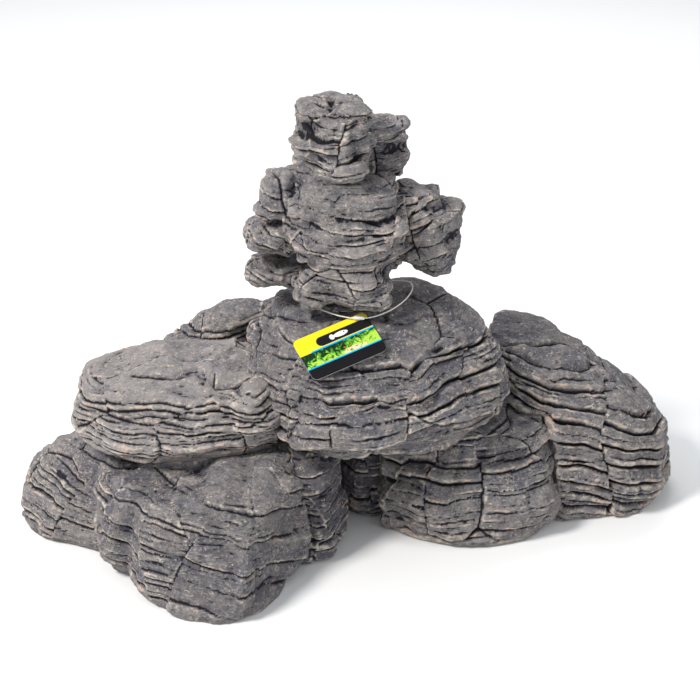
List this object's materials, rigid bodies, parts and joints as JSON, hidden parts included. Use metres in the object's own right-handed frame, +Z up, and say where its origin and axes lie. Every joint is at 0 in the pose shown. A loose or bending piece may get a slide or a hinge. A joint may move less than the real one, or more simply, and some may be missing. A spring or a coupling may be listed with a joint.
{
  "type": "aquarium cave ornament",
  "caption": "Stacked-rock cave ornament for an aquarium, with a layered spire over a hollow and a hanging swing tag round its neck.",
  "frame": {"origin": "on the ground, under the middle of the ornament's bounding box", "axes": "+Z up, +X to the right seen from the front, front towards -Y"},
  "size_m": [0.473, 0.2528, 0.303],
  "materials": {
    "painted_resin": "slate-grey cast resin with dry-brushed warm highlights, matte",
    "bare_resin": "unpainted cast resin, matte",
    "putty": "grey bonding putty, matte",
    "tag_card": "coated printed card, satin",
    "clear_nylon": "clear nylon, glossy"
  },
  "bodies": {
    "ornament": {"left_front_stone": "painted_resin", "left_end_stone": "painted_resin", "cave_pillar_stone": "painted_resin", "cave_sill_stone": "painted_resin", "right_front_stone": "painted_resin", "right_end_stone": "painted_resin", "rear_left_stone": "painted_resin", "rear_right_stone": "painted_resin", "left_roof_slab": "painted_resin", "right_roof_slab": "painted_resin", "rear_left_ridge_stone": "painted_resin", "rear_lintel_stone": "painted_resin", "spire_foot_stone": "painted_resin", "spire_body_stone": "painted_resin", "spire_peak_stone": "painted_resin", "spire_rear_knob": "painted_resin", "spire_right_wing": "painted_resin", "spire_low_fin": "painted_resin", "spire_middle_fin": "painted_resin", "spire_shoulder": "painted_resin", "left_front_base_plate": "bare_resin", "left_end_base_plate": "bare_resin", "right_front_base_plate": "bare_resin", "right_end_base_plate": "bare_resin", "rear_left_base_plate": "bare_resin", "left_roof_plate": "bare_resin", "right_roof_plate": "bare_resin", "ground_dowels": "bare_resin", "spire_dowels": "bare_resin", "side_pins": "bare_resin", "ground_putty": "putty", "spire_putty": "putty", "side_putty": "putty", "tag_loop": "clear_nylon"},
    "tag_fastener": {"tag_barrel": "clear_nylon"},
    "tag": {"tag_card": "tag_card"}
  },
  "joints": [
    {"name": "tag_lift", "type": "hinge", "parent": "ornament", "child": "tag_fastener", "pos_m": [0.006, 0.00022, 0.1593], "axis": [-1, 0, 0], "range_deg": [0, 40]},
    {"name": "tag_swing", "type": "hinge", "parent": "tag_fastener", "child": "tag", "pos_m": [0.006, 0.002, 0.1564], "axis": [0, -0.5225, 0.8526], "range_deg": [-20, 30]}
  ]
}
